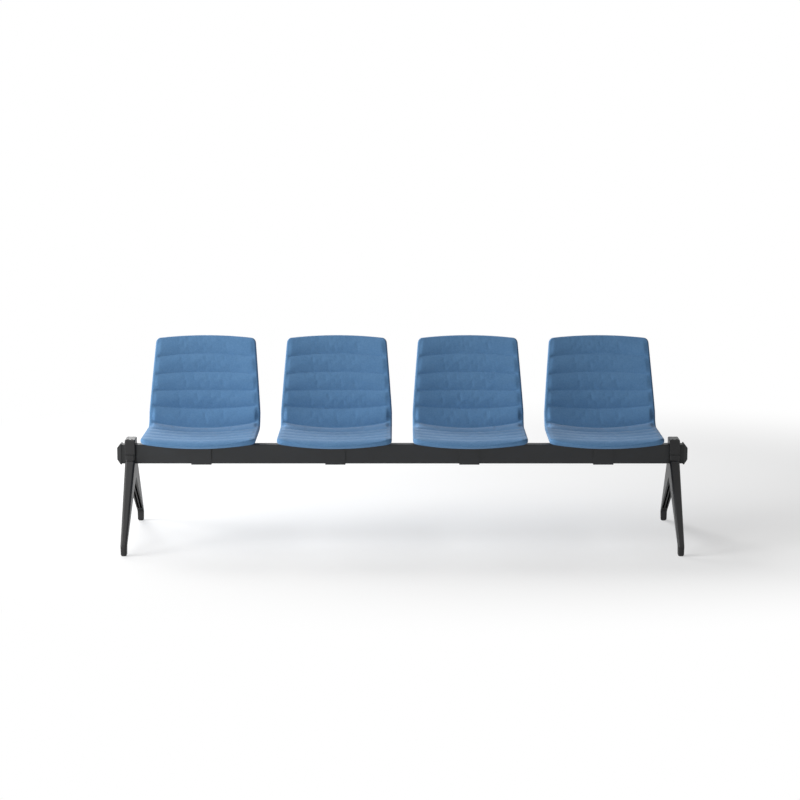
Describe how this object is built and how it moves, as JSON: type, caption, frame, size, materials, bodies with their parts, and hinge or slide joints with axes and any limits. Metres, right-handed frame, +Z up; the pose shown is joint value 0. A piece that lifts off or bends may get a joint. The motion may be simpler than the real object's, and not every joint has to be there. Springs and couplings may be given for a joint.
{
  "type": "beam seating",
  "caption": "Upholstered L-shaped seats in a row on one rectangular beam, carried by two V-shaped cast legs with levelling feet; the seats have horizontal sewn channels.",
  "frame": {"origin": "on the floor, under the middle of the beam", "axes": "+Z up, the seats face -Y, +X along the beam"},
  "size_m": [2.342, 0.66, 0.8005],
  "materials": {
    "beam_steel": "satin powder coat",
    "bracket_steel": "satin powder coat",
    "leg_casting": "satin powder coat on a casting",
    "cap_plastic": "fine grain",
    "glide_nylon": "fine grain",
    "screw_steel": "zinc plated",
    "insert_brass": "knurled",
    "shell_plastic": "moulded",
    "seat_fabric": "fine woven upholstery",
    "cover_fabric": "fine woven upholstery"
  },
  "bodies": {
    "bench": {"beam_tube": "beam_steel", "end_cap_left": "cap_plastic", "leg_left": "leg_casting", "leg_clamp_left": "leg_casting", "clamp_screws_left": "screw_steel", "end_cap_right": "cap_plastic", "leg_right": "leg_casting", "leg_clamp_right": "leg_casting", "clamp_screws_right": "screw_steel", "seat_pad_1": "seat_fabric", "seat_cover_1": "cover_fabric", "seat_shell_1": "shell_plastic", "shell_inserts_1": "insert_brass", "seat_carrier_1": "bracket_steel", "beam_strap_1": "bracket_steel", "seat_screws_1": "screw_steel", "strap_screws_1": "screw_steel", "seat_pad_2": "seat_fabric", "seat_cover_2": "cover_fabric", "seat_shell_2": "shell_plastic", "shell_inserts_2": "insert_brass", "seat_carrier_2": "bracket_steel", "beam_strap_2": "bracket_steel", "seat_screws_2": "screw_steel", "strap_screws_2": "screw_steel", "seat_pad_3": "seat_fabric", "seat_cover_3": "cover_fabric", "seat_shell_3": "shell_plastic", "shell_inserts_3": "insert_brass", "seat_carrier_3": "bracket_steel", "beam_strap_3": "bracket_steel", "seat_screws_3": "screw_steel", "strap_screws_3": "screw_steel", "seat_pad_4": "seat_fabric", "seat_cover_4": "cover_fabric", "seat_shell_4": "shell_plastic", "shell_inserts_4": "insert_brass", "seat_carrier_4": "bracket_steel", "beam_strap_4": "bracket_steel", "seat_screws_4": "screw_steel", "strap_screws_4": "screw_steel"},
    "foot_front_left": {"glide_stud_front_left": "screw_steel", "glide_pad_front_left": "glide_nylon"},
    "foot_front_right": {"glide_stud_front_right": "screw_steel", "glide_pad_front_right": "glide_nylon"},
    "foot_rear_left": {"glide_stud_rear_left": "screw_steel", "glide_pad_rear_left": "glide_nylon"},
    "foot_rear_right": {"glide_stud_rear_right": "screw_steel", "glide_pad_rear_right": "glide_nylon"}
  },
  "joints": [
    {"name": "foot_front_left_travel", "type": "slide", "parent": "bench", "child": "foot_front_left", "axis": [0, 0, -1], "range_m": [0, 0.01]},
    {"name": "foot_front_right_travel", "type": "slide", "parent": "bench", "child": "foot_front_right", "axis": [0, 0, -1], "range_m": [0, 0.01]},
    {"name": "foot_rear_left_travel", "type": "slide", "parent": "bench", "child": "foot_rear_left", "axis": [0, 0, -1], "range_m": [0, 0.01]},
    {"name": "foot_rear_right_travel", "type": "slide", "parent": "bench", "child": "foot_rear_right", "axis": [0, 0, -1], "range_m": [0, 0.01]}
  ]
}
